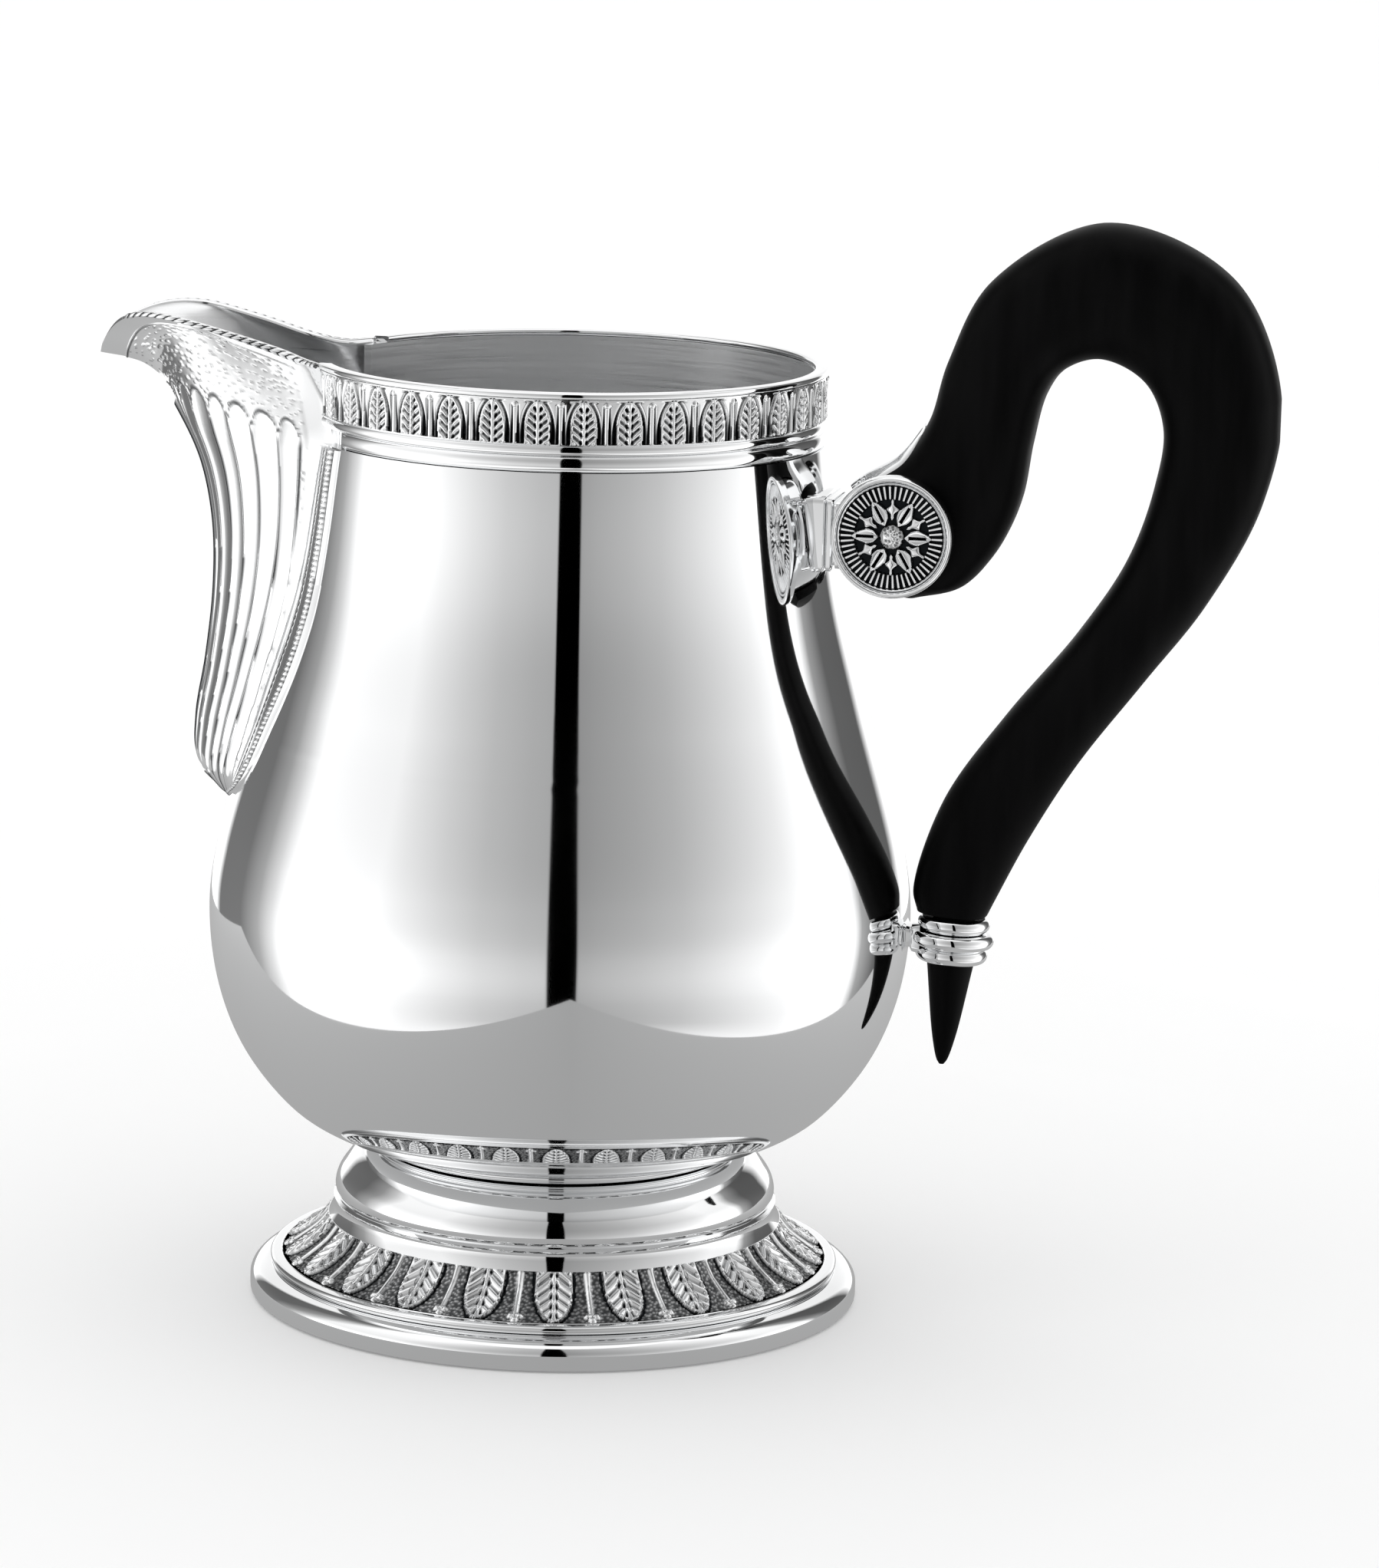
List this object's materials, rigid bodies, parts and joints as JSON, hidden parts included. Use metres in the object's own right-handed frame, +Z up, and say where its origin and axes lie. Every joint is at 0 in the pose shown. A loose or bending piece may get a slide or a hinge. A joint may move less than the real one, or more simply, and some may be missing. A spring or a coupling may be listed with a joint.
{
  "type": "cream jug",
  "caption": "Pear-shaped silver cream jug with leaf borders, a fluted spout, a spreading foot and a black wooden scroll handle.",
  "frame": {"origin": "under the middle of the whole outline, on the plane the foot stands on", "axes": "+X towards the handle, -X towards the spout, +Z up along the jug's own axis"},
  "size_m": [0.1351, 0.0802, 0.1261],
  "materials": {
    "polished_silver": "mirror-polished silver plate",
    "chased_silver": "chased silver, polished high and dark in the recesses",
    "satin_silver": "satin silver, as inside the bowl",
    "black_wood": "satin black stained wood"
  },
  "bodies": {
    "root": {"body_shell": "polished_silver", "rim_reed_lower": "polished_silver", "rim_reed_upper": "polished_silver", "rim_leaf_band": "chased_silver", "rim_top_wire": "polished_silver", "spout": "chased_silver", "spout_lip_wire": "chased_silver", "spout_strip_left": "chased_silver", "spout_strip_right": "chased_silver", "neck_ring": "polished_silver", "foot_dome": "polished_silver", "foot_fillet": "polished_silver", "foot_leaf_band": "chased_silver", "foot_bead": "polished_silver", "foot_ring": "polished_silver", "stem_flange": "polished_silver", "handle_stem": "polished_silver", "socket_barrel": "polished_silver", "rosette_front": "chased_silver", "rosette_back": "chased_silver", "handle_strap": "polished_silver", "handle": "black_wood", "handle_tip": "black_wood", "collar_ring_lower": "polished_silver", "collar_ring_middle": "polished_silver", "collar_ring_upper": "polished_silver", "collar_bridge": "polished_silver"}
  },
  "joints": []
}
